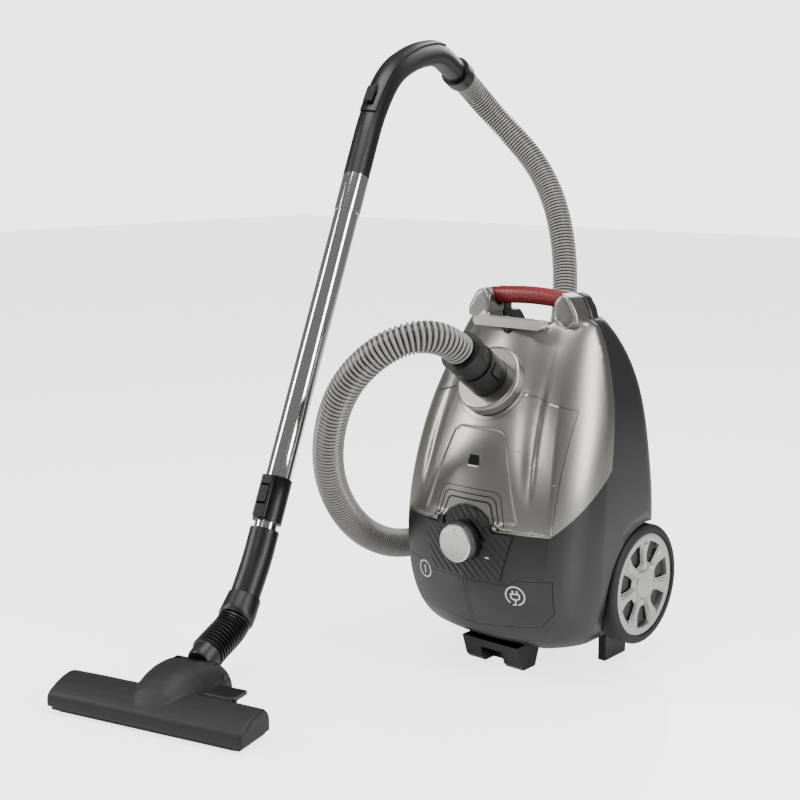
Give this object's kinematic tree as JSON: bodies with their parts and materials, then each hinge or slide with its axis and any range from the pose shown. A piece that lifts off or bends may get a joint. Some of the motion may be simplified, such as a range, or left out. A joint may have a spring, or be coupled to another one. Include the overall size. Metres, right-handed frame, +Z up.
{
  "type": "canister vacuum cleaner",
  "caption": "Canister vacuum cleaner parked upright with ribbed hose, telescopic chrome wand, bent handle and swivelling floor head.",
  "frame": {"origin": "middle of the floor footprint of the canister, wand and head, measured without the hose, at floor level", "axes": "+Z up, the canister's front faces -Y, its right-hand wheel faces +X"},
  "size_m": [0.5648, 1.0161, 0.824],
  "materials": {
    "silver_shell": "fine silver-grey metallic paint on moulded plastic",
    "dark_shell": "satin charcoal plastic",
    "black_plastic": "black moulded plastic",
    "grip_red": "deep red textured plastic",
    "latch_silver": "pale silver plastic",
    "knob_metal": "brushed aluminium",
    "wheel_silver": "silver painted plastic",
    "tyre": "black soft tyre",
    "chrome": "polished chrome tube",
    "hose": "grey ribbed hose",
    "head_plastic": "textured charcoal plastic",
    "steel": "plain steel",
    "paper": "pale filter fleece",
    "clear_window": "dark clear window",
    "board": "circuit board"
  },
  "bodies": {
    "canister": {"upper_front_shell": "silver_shell", "rear_housing": "dark_shell", "lower_front_shell": "dark_shell", "carry_grip": "grip_red", "latch_spring": "steel", "port_ring": "silver_shell", "inlet_duct": "black_plastic", "control_panel": "black_plastic", "lid_hinge_pin": "steel", "control_board": "board", "pedal_springs": "steel", "wheel_axles": "steel", "rear_feet": "black_plastic", "parking_bracket": "black_plastic", "motor_bulkhead": "black_plastic", "dust_bag": "paper", "motor_filter": "paper", "motor_case": "black_plastic", "reel_axle": "steel", "exhaust_filter": "paper", "exhaust_grille": "dark_shell", "cord_outlet": "black_plastic", "housing_screws": "steel", "hose_loop": "hose", "hose_riser": "hose"},
    "lid": {"bag_lid": "silver_shell", "bag_full_window": "clear_window"},
    "latch": {"latch_bar": "latch_silver"},
    "knob": {"knob_skirt": "black_plastic", "power_knob": "knob_metal"},
    "power_pedal": {"power_pedal": "dark_shell"},
    "rewind_pedal": {"rewind_pedal": "dark_shell"},
    "hose_cuff": {"hose_cuff": "black_plastic"},
    "wheel_left": {"wheel_tyre_left": "tyre", "wheel_cap_left": "wheel_silver"},
    "wheel_right": {"wheel_tyre_right": "tyre", "wheel_cap_right": "wheel_silver"},
    "caster_fork": {"caster_fork": "black_plastic"},
    "caster_wheel": {"caster_wheel": "black_plastic"},
    "fan": {"motor_fan": "black_plastic"},
    "reel": {"cord_reel": "black_plastic"},
    "lower_wand": {"inner_tube": "chrome", "wand_elbow": "black_plastic"},
    "upper_wand": {"outer_tube": "chrome", "tube_bush": "black_plastic", "catch_housing": "black_plastic", "wand_handle": "black_plastic", "handle_cover": "black_plastic", "hose_top": "hose"},
    "catch_button": {"catch_button": "black_plastic"},
    "relief_slider": {"relief_slider": "black_plastic"},
    "hose_collar": {"hose_collar": "black_plastic"},
    "neck": {"ribbed_neck": "black_plastic"},
    "floor_head": {"head_cover": "head_plastic", "head_sole": "head_plastic", "head_pins": "steel", "head_brush": "black_plastic"},
    "head_pedal": {"head_pedal": "black_plastic"},
    "head_rollers": {"head_rollers": "black_plastic"}
  },
  "joints": [
    {"name": "lid_hinge", "type": "hinge", "parent": "canister", "child": "lid", "pos_m": [0.1365, -0.0418, 0.204], "axis": [1, 0, 0], "range_deg": [0, 60]},
    {"name": "latch_squeeze", "type": "slide", "parent": "canister", "child": "latch", "axis": [0, 0, 1], "range_m": [0, 0.004], "stiffness_N_per_m": 600, "deforming": ["latch_spring"]},
    {"name": "power_dial", "type": "hinge", "parent": "canister", "child": "knob", "pos_m": [0.1365, -0.0469, 0.182], "axis": [0, -1, 0], "range_deg": [-135, 135]},
    {"name": "power_press", "type": "slide", "parent": "canister", "child": "power_pedal", "axis": [0, 1, 0], "range_m": [0, 0.005], "stiffness_N_per_m": 900, "deforming": ["pedal_springs"]},
    {"name": "rewind_press", "type": "slide", "parent": "canister", "child": "rewind_pedal", "axis": [0, 1, 0], "range_m": [0, 0.005], "stiffness_N_per_m": 900, "deforming": ["pedal_springs"]},
    {"name": "cuff_swivel", "type": "hinge", "parent": "canister", "child": "hose_cuff", "pos_m": [0.1365, 0.0067, 0.378], "axis": [0, -0.8192, 0.5736], "continuous": true},
    {"name": "wheel_left_spin", "type": "hinge", "parent": "canister", "child": "wheel_left", "pos_m": [0.0075, 0.1527, 0.106], "axis": [1, 0, 0], "continuous": true},
    {"name": "wheel_right_spin", "type": "hinge", "parent": "canister", "child": "wheel_right", "pos_m": [0.2655, 0.1527, 0.106], "axis": [1, 0, 0], "continuous": true},
    {"name": "caster_swivel", "type": "hinge", "parent": "canister", "child": "caster_fork", "pos_m": [0.1365, 0.1877, 0.365], "axis": [0, 1, 0], "continuous": true},
    {"name": "caster_spin", "type": "hinge", "parent": "caster_fork", "child": "caster_wheel", "pos_m": [0.1365, 0.2107, 0.383], "axis": [1, 0, 0], "continuous": true},
    {"name": "fan_spin", "type": "hinge", "parent": "canister", "child": "fan", "pos_m": [0.1045, 0.0997, 0.124], "axis": [1, 0, 0], "continuous": true},
    {"name": "reel_spin", "type": "hinge", "parent": "canister", "child": "reel", "pos_m": [0.2035, 0.0997, 0.124], "axis": [1, 0, 0], "continuous": true},
    {"name": "wand_lean", "type": "hinge", "parent": "canister", "child": "lower_wand", "pos_m": [-0.0696, -0.31063, 0.036], "axis": [0.9703, 0.2419, 0], "range_deg": [-18, 22], "deforming": ["hose_riser", "hose_top"]},
    {"name": "telescope", "type": "slide", "parent": "lower_wand", "child": "upper_wand", "axis": [-0.1202, 0.4822, 0.8678], "range_m": [0, 0.3], "deforming": ["hose_top", "hose_riser"]},
    {"name": "catch_press", "type": "slide", "parent": "upper_wand", "child": "catch_button", "axis": [-0.2099, 0.842, -0.497], "range_m": [0, 0.0015], "stiffness_N_per_m": 500},
    {"name": "relief_slide", "type": "slide", "parent": "upper_wand", "child": "relief_slider", "axis": [-0.1489, 0.5974, 0.788], "range_m": [0, 0.01]},
    {"name": "collar_swivel", "type": "hinge", "parent": "upper_wand", "child": "hose_collar", "pos_m": [-0.25249, 0.42292, 0.781], "axis": [-0.2271, 0.9107, -0.3451], "continuous": true, "deforming": ["hose_top"]},
    {"name": "neck_swivel", "type": "hinge", "parent": "lower_wand", "child": "neck", "pos_m": [-0.09717, -0.20001, 0.099], "axis": [-0.1475, 0.5916, 0.7926], "range_deg": [-60, 60]},
    {"name": "neck_tilt", "type": "hinge", "parent": "neck", "child": "floor_head", "pos_m": [-0.0696, -0.31063, 0.036], "axis": [0.9703, 0.2419, 0], "range_deg": [-22, 18]},
    {"name": "head_pedal_rock", "type": "hinge", "parent": "floor_head", "child": "head_pedal", "pos_m": [0.01212, -0.34488, 0.034], "axis": [0.9703, 0.2419, 0], "range_deg": [-8, 0]},
    {"name": "roller_spin", "type": "hinge", "parent": "floor_head", "child": "head_rollers", "pos_m": [-0.07201, -0.30092, 0.0068], "axis": [0.9703, 0.2419, 0], "continuous": true}
  ],
  "couplings": [
    {"joint": "neck_tilt", "follows": "wand_lean", "ratio": -1}
  ]
}
